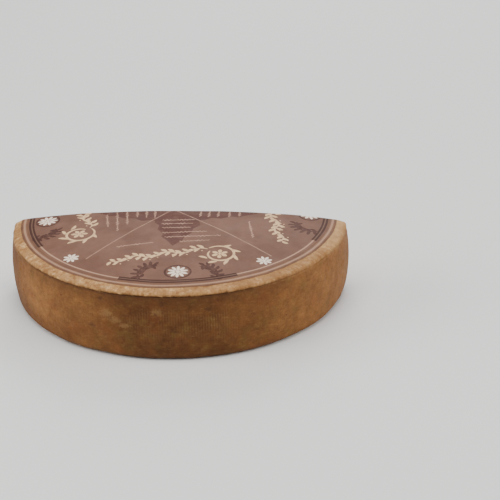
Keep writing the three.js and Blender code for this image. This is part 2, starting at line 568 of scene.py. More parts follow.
def shouldered(tree, colour, space, girth, grain):
    """The wall's colour with the rubbed, partly highlit shoulder above it, and painted shade in the
    crease and under the lip between them.
    """
    front = between(tree, girth, *PARTED_GIRTH)
    ragged_by = calc(tree, "MULTIPLY_ADD", front, -1.0, 6.0)
    wavy = calc(tree, "SUBTRACT", speckle(tree, space["Place"], 4.5, 4.0, 0.65), 0.5)
    level = calc(tree, "MULTIPLY_ADD", wavy, ragged_by, space["Height"])
    level = calc(tree, "MULTIPLY_ADD", ramp_up(tree, girth, *CLIMB_GIRTH), CLIMB, level)
    border = calc(tree, "MULTIPLY_ADD", front, 5.0, CREASE_TOP - 6.2)
    edges = {"Value": level, "From Min": border, "From Max": CREASE_TOP + 1.2}
    # The shoulder band: rubbed rind, and partly a painted highlight where the lip catches the
    # light.
    bare = place_node(tree, "ShaderNodeMapRange", edges).outputs["Result"]
    colour = mixed(tree, bare, colour, rubbed_and_highlit_colour(tree, space, girth, grain))

    # Painted shade on the wall just under the lip, at the front.
    under_lip_shade = times(tree, ramp_up(tree, level, CREASE_TOP - 16, CREASE_TOP - 4), front)
    under_lip_shade = times(tree, under_lip_shade, calc(tree, "SUBTRACT", 1.0, bare))
    colour = tinted(tree, colour, under_lip_shade, 0.4, CREASE_PAINTED_SHADE)
    # Painted shade in the crease, at the front.
    groove = calc(tree, "ABSOLUTE", calc(tree, "SUBTRACT", level, CREASE_TOP - CREASE_HEIGHT))
    crease_shade = times(tree, ramp_up(tree, groove, 2.2, 0.2), front)
    colour = tinted(tree, colour, crease_shade, 0.6, CREASE_PAINTED_SHADE)
    colour = tinted(tree, colour, ramp_up(tree, level, 7.0, 0.5), 0.3, RIND_DARK)
    low = ramp_up(tree, level, *LOW_LEFT["height"])
    low_left = times(tree, low, ramp_up(tree, girth, *LOW_LEFT["girth"]))
    return tinted(tree, colour, low_left, 0.5, RIND_DARK)


def rind_material():
    material, tree, shader, space = start_material("washed_rind")
    place, height = space["Place"], space["Height"]
    girth = place_node(tree, "ShaderNodeAttribute", attribute_name="girth").outputs["Fac"]
    wrap = joined(tree, girth, z=height)
    rib = rib_pattern(tree, girth, height, place)
    grain = speckle(tree, place, 5.0, 4.0, 0.68)
    colour, hollows = marked(tree, wall_colour(tree, place, girth, wrap), place, wrap, rib)
    colour = shouldered(tree, colour, space, girth, grain)
    tree.links.new(colour, shader.inputs["Base Color"])

    dull = calc(tree, "MULTIPLY_ADD", speckle(tree, place, 3.0, 3.0), 0.3, 0.55)
    tree.links.new(dull, shader.inputs["Roughness"])
    shader.inputs["Specular IOR Level"].default_value = 0.2

    relief = times(tree, speckle(tree, place, 0.9, 4.0, 0.65), 0.55)
    for part, amount in ((hollows, -0.8), (rib, 0.4), (grain, 0.5)):
        relief = calc(tree, "MULTIPLY_ADD", part, amount, relief)
    bumped(tree, shader, relief, 0.5)
    return material


RIND = rind_material()
print("rind finish:", len(RIND.node_tree.nodes), "nodes")

# %% [markdown]
# ## The paste
# Inside, the cheese is pale yellow and waxy. It turns golden and then brown over the last
# millimetres under the rind, as the rind dries it. The depth under the rind is the least of three
# distances: to the side, to the base and to the crown. The last two count for more, because the
# golden band is thinner there. The eyes are a little darker inside, which is painted shade in the
# hollows, and the knife leaves faint drag lines.

# %% The paste's finish
PASTE_HEART = srgb(243, 200, 66)
PASTE_PALE = srgb(248, 212, 90)
PASTE_GOLD = srgb(222, 164, 50)
PASTE_AMBER = srgb(184, 122, 42)
PASTE_EDGE = srgb(120, 72, 32)
EYE_PAINTED_SHADE = srgb(184, 138, 38)
# Each tone under the rind, with the depths in millimetres where it begins and is full
DRY_BANDS = ((PASTE_GOLD, 15, 5), (PASTE_AMBER, 5, 2), (PASTE_EDGE, 1.8, 0.4))
TOP_WEIGHT = 2.8
BASE_WEIGHT = 1.4
EYE_DEPTHS = (-0.3, -4.5)
# The knife moved along the cut, so its lines are noise drawn out that way
DRAG = (0.05, 1.0, 1.1)
SOFT_DEPTHS = (0.006, 0.004, 0.0015)


def depth_under_rind(tree, space):
    side = calc(tree, "SUBTRACT", FOOT_RADIUS + SIDE_BULGE * 0.8, space["Radius"])
    share = calc(tree, "POWER", calc(tree, "DIVIDE", space["Radius"], CROWN_RADIUS), CROWN_POWER)
    crown = calc(tree, "MULTIPLY_ADD", share, -CROWN_RISE, TOP_HEIGHT)
    top = times(tree, calc(tree, "SUBTRACT", crown, space["Height"]), TOP_WEIGHT)
    base = times(tree, space["Height"], BASE_WEIGHT)
    least = calc(tree, "SMOOTH_MIN", side, base, BASE_ROUND)
    return calc(tree, "SMOOTH_MIN", least, top, LIP_ROUND)


def paste_material():
    material, tree, shader, space = start_material("cheese_paste")
    place = space["Place"]
    wavy = calc(tree, "MULTIPLY_ADD", speckle(tree, place, 9), 3.0, -1.5)
    depth = calc(tree, "ADD", depth_under_rind(tree, space), wavy)
    colour = mixed(tree, speckle(tree, place, 26, 3.0), PASTE_HEART, PASTE_PALE)
    for gold, begins, full in DRY_BANDS:
        colour = mixed(tree, ramp_up(tree, depth, begins, full), colour, gold)
    behind = place_node(tree, "ShaderNodeSeparateXYZ", {0: place}).outputs["Y"]
    # Painted shade: the eyes grow darker the deeper they reach behind the cut.
    colour = tinted(tree, colour, ramp_up(tree, behind, *EYE_DEPTHS), 0.7, EYE_PAINTED_SHADE)
    colour = mottled(tree, colour, place, 14.0, 1.6, 0.12)
    tree.links.new(colour, shader.inputs["Base Color"])
    lines = speckle(tree, vector_calc(tree, "MULTIPLY", place, DRAG), 1.5, 3.0)
    sheen = calc(tree, "MULTIPLY_ADD", lines, 0.2, 0.32)
    tree.links.new(sheen, shader.inputs["Roughness"])
    shader.inputs["Subsurface Weight"].default_value = 0.2
    shader.inputs["Subsurface Radius"].default_value = SOFT_DEPTHS
    shader.inputs["Subsurface Scale"].default_value = 0.6
    waxy = calc(tree, "MULTIPLY_ADD", lines, 0.6, times(tree, speckle(tree, place, 0.8), 0.4))
    bumped(tree, shader, waxy, 0.12)
    return material


PASTE = paste_material()
print("paste finish:", len(PASTE.node_tree.nodes), "nodes")

# %% [markdown]
# ## The body's shape
# A wheel is a turned shape, so the body starts as an outline from the middle of the base, round
# the foot, up the side, under the lip and over the crown, which `spin` turns half way round. The
# rows lie closest where the light shows most: on the wall and at the shoulder.

# %% The outline of the wheel
def arc(across, up, radius, start, end, steps):
    """Points on an arc, from one angle in degrees to another."""
    turns = (math.radians(start + (end - start) * i / steps) for i in range(steps + 1))
    return [(across + radius * math.cos(t), up + radius * math.sin(t)) for t in turns]


def wall_point(share):
    """A point on the swollen side wall, from the foot (0) to the crease (1)."""
    rise = CREASE_TOP - CREASE_HEIGHT - BASE_ROUND
    return (FOOT_RADIUS + SIDE_BULGE * math.sin(math.pi * share), BASE_ROUND + rise * share)


BASE_ROWS = (0, 40, 80, 112, 134, 143)
WALL_ROWS = 58
COVERED_ROWS = 20
COVERED_REACH = 132.0
BARE_ROWS = 17


def wheel_outline():
    base = [(radius, 0.0) for radius in BASE_ROWS]
    foot = arc(FOOT_RADIUS - BASE_ROUND, BASE_ROUND, BASE_ROUND, -90, 0, 10)
    wall = [wall_point(i / WALL_ROWS) for i in range(1, WALL_ROWS + 1)]
    middle = CREASE_TOP - CREASE_HEIGHT / 2
    crease = [
        (FOOT_RADIUS - 0.5 * CREASE_DEPTH, middle - 0.45),
        (FOOT_RADIUS - CREASE_DEPTH, middle),
        (FOOT_RADIUS - 0.6 * CREASE_DEPTH, middle + 0.45),
    ]
    lip = arc(CROWN_RADIUS, CREASE_TOP, LIP_ROUND, -8, 90, 9)
    step = (CROWN_RADIUS - COVERED_REACH) / BARE_ROWS
    bare = [CROWN_RADIUS - step * i for i in range(1, BARE_ROWS)]
    covered = [COVERED_REACH * (1 - i / COVERED_ROWS) for i in range(COVERED_ROWS + 1)]
    return base + foot + wall + crease + lip + [(r, crown_height(r)) for r in bare + covered]


print(len(wheel_outline()), "points in the outline")

# %% [markdown]
# ## Hand-made unevenness
# No wheel is a perfect turning. Broad swells, small lumps and grain shift each point along its
# normal. The noise is read at the point itself, so the label can ask for the same swell of the
# top and lie on it. Beside the cut, handling has rolled the foot over, pressed the rim down and
# smeared the crease shut. The base stays on its plane, and points in the cut stay in the cut.

# %% Relief of the rind
# Noises: size and height in millimetres, and an offset that sets each one apart
BROAD = (34, 0.42, Vector((4.2, 1.7, 9.1)))
LUMPS = (13, 0.16, Vector((7.5, 3.3, 0.4)))
SMALL = (5.2, 0.12, Vector((2.2, 8.8, 5.1)))
GRAIN = (2.1, 0.06, Vector())
CRUMBS = (7.5, 0.5, Vector((11, 5, 2)))
FINE_CRUMBS = (3.4, 0.25, Vector())
LIP_REACH = 6.0

# Beside the cut: what is lost, and how far each loss reaches, in millimetres
FOOT_LOSS = 2.4
FOOT_REACH = 9.0
LEFT_DROP = 2.8
RIGHT_DROP = 1.1
DROP_REACH = 5.5
DROP_HEIGHT = 8.0
WORN_REACH = 55.0
FILLED_REACH = 60.0
FILLED_SHARE = 0.8
# Under the paper the rind lies a little lower, up to a margin inside the paper's edge
PAPER_SINK = 0.12
PAPER_MARGIN = 1.5


def bumps(point, size, height, offset):
    return height * noise.noise(point / size + offset)


def falling(distance, reach):
    """1 at no distance, and softly to nothing over the reach."""
    return math.exp(-((distance / reach) ** 2))


def worn_foot(x, y, z):
    """How much of the foot is rolled over near the cut, in millimetres."""
    away = math.hypot(math.hypot(x, y) - FOOT_RADIUS, z)
    return FOOT_LOSS * falling(away, FOOT_REACH) * falling(y, WORN_REACH)


def rim_drop(x, y, z):
    """How far the rim of the top is pressed down near the cut, in millimetres."""
    to_rim = falling(math.hypot(x, y) - FOOT_RADIUS, DROP_REACH)
    share = min(max((z - CREASE_TOP + DROP_HEIGHT) / DROP_HEIGHT, 0), 1)
    return (LEFT_DROP if x < 0 else RIGHT_DROP) * to_rim * falling(y, WORN_REACH) * share


def swell(x, y, z):
    """Broad unevenness that rind and label share, in millimetres."""
    point = Vector((x, y, z))
    return bumps(point, *BROAD) + bumps(point, *LUMPS)


def bare_relief(point):
    """The rind's own small relief where no paper covers it."""
    at_lip = max(0.0, 1 - abs(point.z - CREASE_TOP) / LIP_REACH)
    crumbs = bumps(point, *CRUMBS) + bumps(point, *FINE_CRUMBS)
    in_crease = falling(point.z - (CREASE_TOP - CREASE_HEIGHT / 2), CREASE_HEIGHT / 2)
    filled = FILLED_SHARE * CREASE_DEPTH * in_crease * falling(point.y, FILLED_REACH)
    return filled + bumps(point, *SMALL) + bumps(point, *GRAIN) + at_lip * crumbs


def rind_relief(point):
    """How far the rind stands out at a point, in millimetres."""
    from_label = (point - LABEL_SHIFT).xy.length
    covered = point.z > SHOULDER_HEIGHT and from_label < LABEL_RADIUS - PAPER_MARGIN
    own = -PAPER_SINK if covered else bare_relief(point)
    return swell(*point) - worn_foot(*point) + own


print(f"the left end of the rim lies {rim_drop(-FOOT_RADIUS, 0, TOP_HEIGHT):.1f} mm low")

# %% [markdown]
# Small pocks finish the wall. They are scattered by a seeded draw, so each run gives the same
# wheel, and a search tree finds the nearest pock to each point quickly.

# %% Pocks, and the move of every point
PITS = 90
PIT_SEED = 7
PIT_SIZES = (0.9, 1.9)
PIT_DEPTHS = (0.25, 0.45)
ON_PLANE = 1e-3


def pit_places():
    """Small pocks scattered over the wall, each with a radius and a depth."""
    rng = random.Random(PIT_SEED)
    pits = []
    for _ in range(PITS):
        turn = -math.pi * rng.random()
        height = rng.uniform(5, CREASE_TOP - 4)
        radius = FOOT_RADIUS + SIDE_BULGE * math.sin(math.pi * height / CREASE_TOP)
        spot = Vector((radius * math.cos(turn), radius * math.sin(turn), height))
        size = rng.uniform(*PIT_SIZES)
        pits.append((spot, size, size * rng.uniform(*PIT_DEPTHS)))
    return pits


def uneven(bm):
    """Moves every rind point along its normal."""
    bm.normal_update()
    tree = kdtree.KDTree(PITS)
    pits = pit_places()
    for i, (spot, _, _) in enumerate(pits):
        tree.insert(spot, i)
    tree.balance()
    moves = []
    for vert in bm.verts:
        push = rind_relief(vert.co)
        _, nearest, away = tree.find(vert.co)
        _, size, depth = pits[nearest]
        if away < size:
            push -= depth * (1 - (away / size) ** 2)
        moves.append(vert.normal * push - Vector((0, 0, rim_drop(*vert.co))))
    for vert, move in zip(bm.verts, moves):
        in_cut = abs(vert.co.y) < ON_PLANE
        on_base = vert.co.z < ON_PLANE
        vert.co += move
        if in_cut:
            vert.co.y = 0
        if on_base:
            vert.co.z = 0
        vert.co.z = max(vert.co.z, 0)


print(len(pit_places()), "pocks on the wall")

# %% [markdown]
# `spin` looks through the whole mesh at each step, so hundreds of steps are slow. The helper
# spins only an eighth of the half round and mirrors the wedge three times, which is quick.

# %% Turn the outline and close the cut
BODY_STEPS = 65
PASTE_SLOT = 1
WELD = 0.004


def half_round(outline, steps):
    """Turns (radius, height) points half way round, from +X by the front to -X."""
    bm = bmesh.new()
    verts = [bm.verts.new((r, 0, z)) for r, z in outline]
    line = verts + [bm.edges.new(pair) for pair in zip(verts, verts[1:])]
    wedge = math.pi / 8
    upright = {"cent": (0, 0, 0), "axis": (0, 0, 1)}
    bmesh.ops.spin(bm, geom=line, angle=-wedge, steps=steps, use_merge=False, **upright)
    for doubling in range(3):
        border = -wedge * 2**doubling
        across = Matrix.Rotation(-(border + math.pi / 2), 4, "Z")
        whole = bm.verts[:] + bm.edges[:] + bm.faces[:]
        bmesh.ops.mirror(bm, geom=whole, matrix=across, merge_dist=WELD, axis="X")
    bmesh.ops.remove_doubles(bm, verts=bm.verts, dist=WELD)
    bmesh.ops.recalc_face_normals(bm, faces=bm.faces)
    return bm


def turned_body():
    bm = half_round(wheel_outline(), BODY_STEPS)
    top = [face for face in bm.faces if face.calc_center_median().z > SHOULDER_HEIGHT]
    if sum(face.normal.z for face in top) < 0:
        bmesh.ops.reverse_faces(bm, faces=bm.faces)
    for face in bm.faces:
        face.smooth = True
    return bm


def close_cut(bm):
    """One flat face over the cut, in the paste's material."""
    rim = [edge for edge in bm.edges if edge.is_boundary]
    made = bmesh.ops.holes_fill(bm, edges=rim, sides=0)["faces"]
    cut = bmesh.ops.triangulate(bm, faces=made)["faces"]
    for face in cut:
        face.material_index = PASTE_SLOT
        face.smooth = False
    return len(cut)


body = turned_body()
uneven(body)
print("body:", len(body.verts), "points,", close_cut(body), "faces over the cut")

# %% [markdown]
# ## The eyes
# Gas from ripening leaves round eyes in the paste. The knife opens them, so each is a hollow in
# the cut face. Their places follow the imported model: across from the axis to the rim, and up from
# the base to the top. They are made as slightly uneven balls, and a boolean takes them away.

# %% Cut the eyes
# Across and up as shares of the wheel's radius and height, then width, height and depth
EYES = (
    (0.528, 0.66, 3.4, 3.6, 2.0),
    (0.565, 0.676, 1.5, 1.6, 0.8),
    (0.507, 0.46, 8.0, 11.0, 5.0),
    (0.406, 0.29, 10.5, 14.0, 6.5),
    (0.834, 0.655, 9.0, 10.0, 5.0),
    (0.907, 0.7, 4.0, 4.2, 2.2),
    (0.776, 0.17, 8.6, 9.4, 4.5),
    (0.591, 0.11, 5.4, 5.6, 3.0),
    (-0.622, 0.79, 5.0, 5.2, 2.6),
    (-0.47, 0.36, 8.2, 9.4, 4.4),
    (-0.8, 0.42, 6.4, 6.8, 3.4),
    (-0.19, 0.22, 4.2, 4.8, 2.2),
    (0.09, 0.55, 3.2, 3.4, 1.8),
)
EYE_ROUGHNESS = 0.05
EYE_WOBBLE = 1.3


def eye_balls():
    bm = bmesh.new()
    for across, up, width, height, depth in EYES:
        centre = Vector((across * FOOT_RADIUS, 0, up * TOP_HEIGHT))
        made = bmesh.ops.create_icosphere(bm, subdivisions=4, radius=1.0)["verts"]
        for vert in made:
            uneven_by = 1 + EYE_ROUGHNESS * noise.noise(vert.co * EYE_WOBBLE + centre)
            x, y, z = vert.co
            vert.co = Vector((x * width / 2, y * depth, z * height / 2)) * uneven_by
            vert.co += centre
    for face in bm.faces:
        face.material_index = PASTE_SLOT
        face.smooth = True
    return bm


def take_away(obj, cutter):
    """Subtracts the cutter from the object and removes the cutter."""
    boolean = obj.modifiers.new("eyes", "BOOLEAN")
    boolean.operation = "DIFFERENCE"
    boolean.solver = "EXACT"
    boolean.object = cutter
    graph = bpy.context.evaluated_depsgraph_get()
    mesh = bpy.data.meshes.new_from_object(obj.evaluated_get(graph))
    obj.modifiers.clear()
    obj.data = mesh
    bpy.data.objects.remove(cutter)


cheese = as_object(body, "cheese_body", [RIND, PASTE])
take_away(cheese, as_object(eye_balls(), "eye_balls", []))
print(len(EYES), "eyes cut,", len(cheese.data.polygons), "faces")

# %% [markdown]
# The boolean leaves a few slivers of almost no width, which `dissolve_degenerate` removes. Then
# the edges where the knife went stay sharp, and each point learns its girth, which the rind's
# finish reads.

# %% Finish the body
SHARP_ANGLE = math.radians(40)
SLIVER = 3e-6


def finish_body(obj):
    """Removes slivers, marks the sharp edges and stores the girth."""
    bm = bmesh.new()
    bm.from_mesh(obj.data)
    bmesh.ops.dissolve_degenerate(bm, dist=SLIVER, edges=bm.edges)
    for edge in bm.edges:
        if len(edge.link_faces) == 2:
            edge.smooth = edge.calc_face_angle(0) < SHARP_ANGLE
    girth = bm.verts.layers.float.new("girth")
    for vert in bm.verts:
        place = vert.co - CUT_PLACE
        turn = math.atan2(min(place.y, 0), place.x)
        vert[girth] = (turn + math.pi) * FOOT_RADIUS
    bm.to_mesh(obj.data)
    bm.free()


finish_body(cheese)
print("cheese:", len(cheese.data.polygons), "faces")

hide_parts("cheese_half_wheel")
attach(cheese, "root")

# %% [markdown]
# ## The label's print
# The label is drawn as an engraver would: a running vine in cream, a flower in a medallion
# between two laurel twigs, fine waved rules and a mountain's dark shape. Each quarter of the round
# repeats the same plate. A stroke is a line of places, each with the pen's half width there,
# which swells between two fine tips. These first helpers draw lines and give them that swell.

# %% Lines and pen strokes, in millimetres about the label's centre
def curve_through(points, steps=6):
    """A smooth line through a few points."""
    ends = [points[0], *points, points[-1]]
    line = []
    for a, b, c, d in zip(ends, ends[1:], ends[2:], ends[3:]):
        for i in range(steps):
            t = i / steps
            weights = (
                -0.5 * t + t * t - 0.5 * t**3,
                1 - 2.5 * t * t + 1.5 * t**3,
                0.5 * t + 2 * t * t - 1.5 * t**3,
                -0.5 * t * t + 0.5 * t**3,
            )
            line.append(tuple(sum(w * p[k] for w, p in zip(weights, (a, b, c, d))) for k in (0, 1)))
    return [*line, points[-1]]


def pen(line, thick, tip=0.3, fullness=1.0):
    """A stroke as (x, y, half width): fine at both tips, full between them."""
    last = len(line) - 1
    swell = [math.sin(math.pi * i / last) ** fullness for i in range(last + 1)]
    return [(x, y, tip + (thick - tip) * s) for (x, y), s in zip(line, swell)]


def spiral(x, y, radius, start, turns, closing, steps=30):
    """A line that winds in towards (x, y) and loses that share of its radius."""
    line = []
    for i in range(steps + 1):
        t = i / steps
        angle = math.radians(start) + 2 * math.pi * turns * t
        reach = radius * (1 - closing * t)
        line.append((x + reach * math.cos(angle), y + reach * math.sin(angle)))
    return line


def dot(x, y, size):
    """A round blot of ink."""
    return [(x, y, size), (x + 0.1, y, size)]


def leaf(x, y, heading, length, thick=1.5):
    """A leaf that grows from (x, y) and bends a little."""
    line = []
    for i in range(7):
        t = i / 6
        angle = math.radians(heading + 22 * t)
        line.append((x + length * t * math.cos(angle), y + length * t * math.sin(angle)))
    return pen(line, thick, 0.25)


print("a leaf's stroke has", len(leaf(0, 0, 0, 9.0)), "places")

# %% [markdown]
# The vine is the boldest part of the print. It sets out from one big curl with a flower in it,
# and full leaves stand on both sides of its waved stem, with berries between them.

# %% Draw the flowers and the vine
# Places are in millimetres from the label's centre, and the front is at negative y
VINE_START = (33, -80)
VINE_END = (-51, -102)
VINE_WAVES = 3
VINE_SWAY = 3.0
VINE_LEAVES = 13
CURL = (44.5, -88.5)
CURL_RADIUS = 14.5


def rosette(x, y, size, petals):
    """Petals round a heart."""
    strokes = [dot(x, y, size * 0.2)]
    for i in range(petals):
        way = 2 * math.pi * (i + 0.5) / petals
        dx, dy = size * math.cos(way), size * math.sin(way)
        petal = [(x + dx * s, y + dy * s) for s in (0.3, 0.5, 0.7, 0.85, 1)]
        strokes.append(pen(petal, size * 1.6 / petals, 0.5))
    return strokes


def vine_stem(t):
    x = VINE_START[0] + (VINE_END[0] - VINE_START[0]) * t
    y = VINE_START[1] + (VINE_END[1] - VINE_START[1]) * t
    return (x, y + VINE_SWAY * math.sin(2 * math.pi * VINE_WAVES * t))


def vine_scroll():
    """One big curl round a flower, then the waved stem with its leaves and berries."""
    strokes = rosette(*CURL, 7.2, 6)
    strokes.append(pen(spiral(*CURL, CURL_RADIUS, 135, -0.95, 0.3), 1.15, 0.5, 0.5))
    strokes.append(pen([vine_stem(i / 70) for i in range(71)], 0.75, 0.4, 0.4))
    for i in range(VINE_LEAVES):
        t = (i + 0.6) / VINE_LEAVES
        x, y = vine_stem(t)
        strokes.append(leaf(x, y, 118, 8.6 - 2.0 * t, 1.75))
        strokes.append(leaf(x - 3.2, y, -140, 8.2 - 1.8 * t, 1.7))
        strokes.append(dot(x - 1.0, y - 4.6, 0.75))
    for angle in (85, 40, -5, -50, -95, -140):
        way = math.radians(angle)
        foot = (CURL[0] + 13.8 * math.cos(way), CURL[1] + 13.8 * math.sin(way))
        strokes.append(leaf(*foot, angle - 85, 9.0, 1.6))
    return strokes


print(len(vine_scroll()), "strokes in the vine")

# %% [markdown]
# Round the vine go quieter things: waved rules, and laurel twigs with their feet on the ring.
# `turned` carries a stroke round the label's centre, so one quarter's plate serves three.

# %% Draw the rules and the laurel
def waved_rule(x0, y0, x1, y1):
    """A ruled line with a fine, uneven wave."""
    count = int(math.hypot(x1 - x0, y1 - y0) / 0.9)
    line = []
    for i in range(count + 1):
        t = i / count
        wave = 1.25 * math.sin(i * 1.7) * (0.55 + 0.45 * math.sin(i * 0.37))
        line.append((x0 + (x1 - x0) * t, y0 + (y1 - y0) * t + wave))
    return pen(line, 0.62, 0.3, 0.2)


# Where each rule starts and ends: x0, y0, x1, y1
RULES = (
    (-50, -76, -17, -68),
    (-11, -49, 30, -45.5),
    (-8, -58, 43, -53.5),
    (6, -66.5, 34, -63),
    (-13, -22, 17, -21),
    (-13, -30, 16, -29),
    (-12, -38.5, 15, -37.5),
)
TWIG_FOOT = -121


def laurel(x, side):
    """A bent twig with dark leaves, with its foot on the ring."""
    bend = [(0, -12), (side * -2.5, -3), (side * 1, 6), (side * 8, 10.5), (side * 14, 9)]
    line = curve_through([(x + dx, TWIG_FOOT + dy) for dx, dy in bend])
    strokes = [pen(line, 1.0, 0.5, 0.3)]
    for i in range(2, len(line) - 2, 3):
        (ax, ay), (bx, by) = line[i - 1], line[i + 1]
        heading = math.degrees(math.atan2(by - ay, bx - ax))
        px, py = line[i]
        for lean in (48, -75):
            strokes.append(leaf(px, py, heading + lean, 7.0, 1.75))
    return strokes


def ring_line(x, y, across, up, steps=40):
    turns = [2 * math.pi * i / steps for i in range(steps + 1)]
    return [(x + across * math.cos(t), y + up * math.sin(t)) for t in turns]


print(len(laurel(0, 1)), "strokes in a twig and", len(RULES), "rules")

# %% [markdown]
# The plates put it together. Each ink keeps its own list, because each prints in its own colour.

# %% Compose the plates
PEAK = (
    *((-30, -3), (-26, -12), (-19, -17), (-20, -27), (-15, -33), (-16, -42)),
    *((-10, -51), (-11, -57), (-5, -65), (1, -75), (5, -69), (9, -65), (10, -57)),
    *((16, -50), (17, -40), (23, -33), (21, -24), (26, -16), (34, -3)),
)

MEDALLION = (9.6, -121.5)
TWIG_AWAY = 33
QUARTER_TURNS = (0, -88.5, 86.2)
CORNERS = (-134.1, -48.6)
CORNER_REACH = 128.2


def turned(stroke, degrees):
    c, s = math.cos(math.radians(degrees)), math.sin(math.radians(degrees))
    return [(x * c - y * s, x * s + y * c, *rest) for x, y, *rest in stroke]


def print_plates():
    """What each ink prints: its strokes, and its filled shapes."""
    x, y = MEDALLION
    frame_line = pen(ring_line(x, y, 11.5, 10.5), 1.0, 0.9)
    quarter = {
        "cream": vine_scroll(),
        "rose": [waved_rule(*rule) for rule in RULES],
        "maroon": laurel(x - TWIG_AWAY, 1) + laurel(x + TWIG_AWAY, -1) + [frame_line],
        "pale": rosette(x, y, 9.0, 10),
    }
    plates = {}
    for ink, strokes in quarter.items():
        plates[ink] = [turned(s, turn) for turn in QUARTER_TURNS for s in strokes]
    for corner in CORNERS:
        plates["pale"] += [turned(s, corner) for s in rosette(CORNER_REACH, 0, 7.0, 8)]
    shapes = {"wash": [turned(PEAK, turn) for turn in QUARTER_TURNS]}
    return plates, shapes


# %% [markdown]
# ## From strokes to ink
# Each point of the label stores how far it lies from the edge of the nearest stroke, negative
# inside it. Such a distance changes evenly from point to point, so a shader can cut it into a
# crisp edge even though the points are most of a millimetre apart.

# %% Measure the distance to the strokes
FAR = 9.0
MARGIN = 4.0


def from_segment(spots, a, b):
    """How far along a segment each spot lies, from 0 to 1, and how far away from it."""
    way = b - a
    along = np.clip((spots - a) @ way / max(way @ way, 1e-9), 0, 1)
    return along, np.linalg.norm(spots - a - along[:, None] * way, axis=1)


def stroke_distance(spots, strokes):
    """Distance of each spot to the nearest edge of a stroke, negative inside."""
    field = np.full(len(spots), FAR)
    for stroke in strokes:
        line = np.array(stroke)
        low, high = line[:, :2].min(axis=0) - MARGIN, line[:, :2].max(axis=0) + MARGIN
        near = np.flatnonzero(((spots > low) & (spots < high)).all(axis=1))
        here = spots[near]
        for a, b in zip(line, line[1:]):
            along, away = from_segment(here, a[:2], b[:2])
            away -= a[2] + along * (b[2] - a[2])
            field[near] = np.minimum(field[near], away)
    return field


def shape_distance(spots, shapes):
    """The same for filled outlines."""
    field = np.full(len(spots), FAR)
    for shape in shapes:
        line = np.array(shape)
        away = np.full(len(spots), FAR)
        inside = np.zeros(len(spots), bool)
        for a, b in zip(line, np.roll(line, -1, axis=0)):
            way = b - a
            away = np.minimum(away, from_segment(spots, a, b)[1])
            crosses = (a[1] > spots[:, 1]) != (b[1] > spots[:, 1])
            if way[1]:
                inside ^= crosses & (spots[:, 0] < a[0] + way[0] * (spots[:, 1] - a[1]) / way[1])
        field = np.minimum(field, np.where(inside, -away, away))
    return field


square = ((0, 0), (4, 0), (4, 4), (0, 4))
print("the middle of a 4 mm square:", shape_distance(np.array([(2.0, 2.0)]), [square])[0])

# %% [markdown]
# ## The label's sheet
# The paper is a thin sheet that copies the top of the cheese. It is a ring spun round the label's
# own centre, with a top and an underside, and `bisect_plane` cuts it where the knife cut the
# cheese. The rows on top are close together, because they carry the print.

# %% The sheet and its ink distances
PAPER_LIFT = 0.10
PAPER_THICKNESS = 0.15
SHEET_STEPS = 68
# The ring's hole lies beyond the cut, so nothing of it is left
LABEL_HOLE = 1.2
PRINT_ROWS = 148
UNDER_ROWS = 9


def top_surface(x, y):
    """Height of the uneven top of the cheese at a place."""
    height = crown_height(math.hypot(x, y))
    return height + swell(x, y, height) - rim_drop(x, y, height)


def label_outline():
    """Radius from the label's centre, and 1 on the printed face or 0 on the underside."""
    reach = LABEL_RADIUS - LABEL_HOLE
    face = [(LABEL_HOLE + reach * i / PRINT_ROWS, 1) for i in range(PRINT_ROWS + 1)]
    under = [(LABEL_RADIUS - reach * i / UNDER_ROWS, 0) for i in range(UNDER_ROWS + 1)]
    return face + under


def ragged_edge(turn):
    """The trimmed edge of the paper isn't a perfect circle."""
    way = Vector((math.cos(turn), math.sin(turn), 0))
    return 0.7 * noise.noise(way * 3.1) + 0.25 * noise.noise(way * 17)


def label_sheet():
    bm = half_round(label_outline(), SHEET_STEPS)
    for vert in bm.verts:
        radius = vert.co.xy.length
        grow = ragged_edge(math.atan2(vert.co.y, vert.co.x)) / LABEL_RADIUS
        vert.co.xy *= 1 + grow * (radius / LABEL_RADIUS) ** 6
    bmesh.ops.translate(bm, vec=LABEL_SHIFT, verts=bm.verts)
    whole = bm.verts[:] + bm.edges[:] + bm.faces[:]
    bmesh.ops.bisect_plane(bm, geom=whole, plane_co=(0, 0, 0), plane_no=(0, 1, 0), clear_outer=True)
    for vert in bm.verts:
        lift = PAPER_LIFT + PAPER_THICKNESS * vert.co.z
        vert.co.z = top_surface(vert.co.x, vert.co.y) + lift
    bmesh.ops.holes_fill(bm, edges=[edge for edge in bm.edges if edge.is_boundary], sides=0)
    bmesh.ops.recalc_face_normals(bm, faces=bm.faces)
    for face in bm.faces:
        face.smooth = len(face.verts) < 5
    for edge in bm.edges:
        edge.smooth = edge.calc_face_angle(0) < SHARP_ANGLE
    return bm


def store_inks(bm):
    spots = np.array([vert.co.xy for vert in bm.verts]) - np.array(LABEL_SHIFT.xy)
    plates, shapes = print_plates()
    fields = {ink: stroke_distance(spots, strokes) for ink, strokes in plates.items()}
    fields.update({ink: shape_distance(spots, outlines) for ink, outlines in shapes.items()})
    for ink, field in fields.items():
        layer = bm.verts.layers.float.new(f"ink_{ink}")
        for vert, distance in zip(bm.verts, field):
            vert[layer] = distance
        print(f"{ink} ink covers {(field < 0).mean():.1%} of the points")


# %% [markdown]
# ## The label's finish
# The ground is a mauve brown. Cream and a fainter rose lie on it, the maroons sink into it, and
# the flowers are nearly white. Rings run round the edge, with a dark band over each quarter's
# flower. Each ink is the stored distance cut at zero. Rings, bands and the straight rules are
# simple enough for the shader to measure by itself.

# %% Where each ink lies
PAPER_GROUND = srgb(122, 87, 71)
PAPER_DEEP = srgb(110, 77, 62)
PAPER_STAIN = srgb(146, 103, 70)
INK_CREAM = srgb(226, 186, 140)
INK_ROSE = srgb(178, 138, 114)
INK_WASH = srgb(86, 50, 42)
INK_MAROON = srgb(66, 36, 30)
INK_PALE = srgb(250, 228, 206)
BAND_DARK = srgb(60, 32, 25)
RING_PALE = srgb(186, 146, 118)
RING_BROWN = srgb(98, 66, 46)

